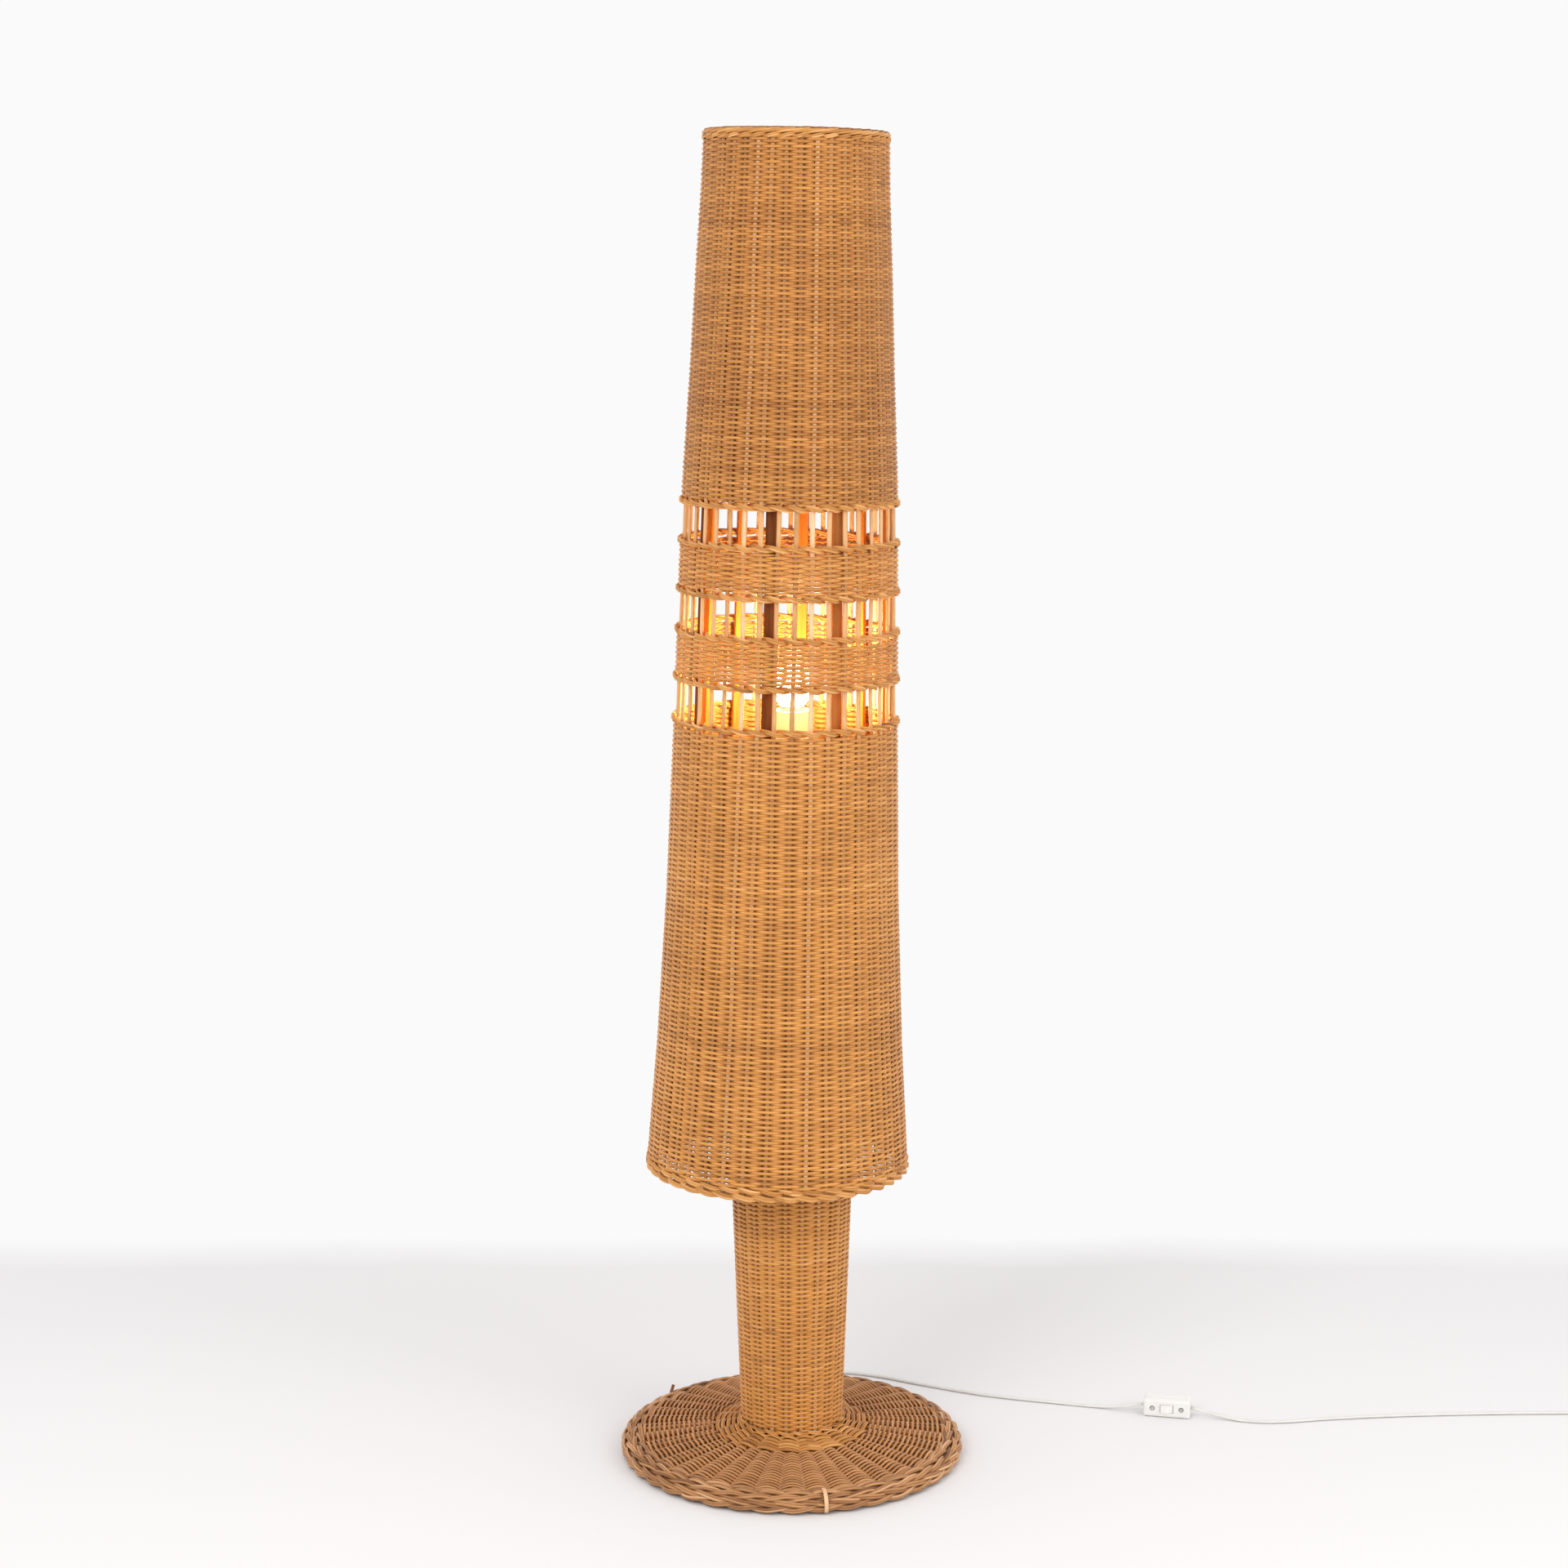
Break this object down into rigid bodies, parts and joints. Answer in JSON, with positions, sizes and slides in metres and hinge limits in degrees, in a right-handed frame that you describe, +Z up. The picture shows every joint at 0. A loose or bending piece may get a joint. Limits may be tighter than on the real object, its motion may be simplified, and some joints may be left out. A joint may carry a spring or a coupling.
{
  "type": "wicker floor lamp",
  "caption": "Free-standing wicker floor lamp: round woven foot, woven column and a tall tapering woven shade with open bands, on a flex with an inline switch.",
  "frame": {"origin": "on the floor, under the middle of the round foot", "axes": "+Z up, -Y towards the front, +X to the right as seen from the front, where the mains cord runs"},
  "size_m": [1.1774, 0.4173, 1.4008],
  "materials": {
    "wicker": "satin",
    "stakes": "satin",
    "twined_cane": "satin",
    "braided_border": "satin",
    "lath_wood": "matte",
    "iron_weight": "matte",
    "felt": "matte",
    "zinc_steel": "satin",
    "holder_plastic": "satin",
    "ceramic_insert": "gloss",
    "contact_brass": "satin",
    "bulb_cap_metal": "satin",
    "opal_glass": "gloss",
    "white_flex": "satin",
    "white_plastic": "satin",
    "rocker_plastic": "gloss",
    "grommet_rubber": "matte"
  },
  "bodies": {
    "stand": {"felt_pad": "felt", "foot_board": "lath_wood", "base_weight": "iron_weight", "base_cover": "wicker", "base_border": "braided_border", "foot_collar": "twined_cane", "column_weave": "wicker", "column_top_rope": "twined_cane", "foot_disc": "lath_wood", "top_disc": "lath_wood", "stand_tube": "zinc_steel", "lock_nut_bottom": "zinc_steel", "lock_nut_top": "zinc_steel", "holder_cap": "holder_plastic", "holder_shell": "holder_plastic", "holder_insert": "ceramic_insert", "holder_contact": "contact_brass", "lead_inside": "white_flex", "cord_grommet": "grommet_rubber", "cord_to_switch": "white_flex", "cord_to_coil": "white_flex", "cord_to_plug": "white_flex", "cord_coil": "white_flex", "switch_base": "white_plastic", "switch_cover": "white_plastic", "switch_screw_left": "zinc_steel", "switch_screw_right": "zinc_steel", "plug_body": "white_plastic", "plug_pin_left": "zinc_steel", "plug_pin_right": "zinc_steel"},
    "shade": {"weave_top": "wicker", "open_stakes_upper": "stakes", "weave_band_upper": "wicker", "open_stakes_middle": "stakes", "weave_band_lower": "wicker", "open_stakes_lower": "stakes", "weave_skirt": "wicker", "twined_rope_1": "twined_cane", "twined_rope_2": "twined_cane", "twined_rope_3": "twined_cane", "twined_rope_4": "twined_cane", "twined_rope_5": "twined_cane", "twined_rope_6": "twined_cane", "top_border": "braided_border", "bottom_border": "braided_border", "shade_spider": "lath_wood", "shade_upright_1": "lath_wood", "shade_upright_2": "lath_wood", "shade_upright_3": "lath_wood", "shade_upright_4": "lath_wood", "shade_upright_5": "lath_wood", "shade_upright_6": "lath_wood", "shade_upright_7": "lath_wood", "shade_upright_8": "lath_wood", "hoop_bottom": "lath_wood", "hoop_top": "lath_wood"},
    "bulb": {"bulb_glass": "opal_glass", "bulb_screw_cap": "bulb_cap_metal", "bulb_contact": "contact_brass"},
    "rocker": {"switch_rocker": "rocker_plastic"}
  },
  "joints": [
    {"name": "shade_lift", "type": "slide", "parent": "stand", "child": "shade", "axis": [0, 0, 1], "range_m": [0, 0.6]},
    {"name": "bulb_unscrew", "type": "slide", "parent": "stand", "child": "bulb", "axis": [0, 0, 1], "range_m": [0, 0.035]},
    {"name": "switch_rock", "type": "hinge", "parent": "stand", "child": "rocker", "pos_m": [0.41771, 0.08724, 0.01], "axis": [0, 0, -1], "range_deg": [0, 24]}
  ]
}
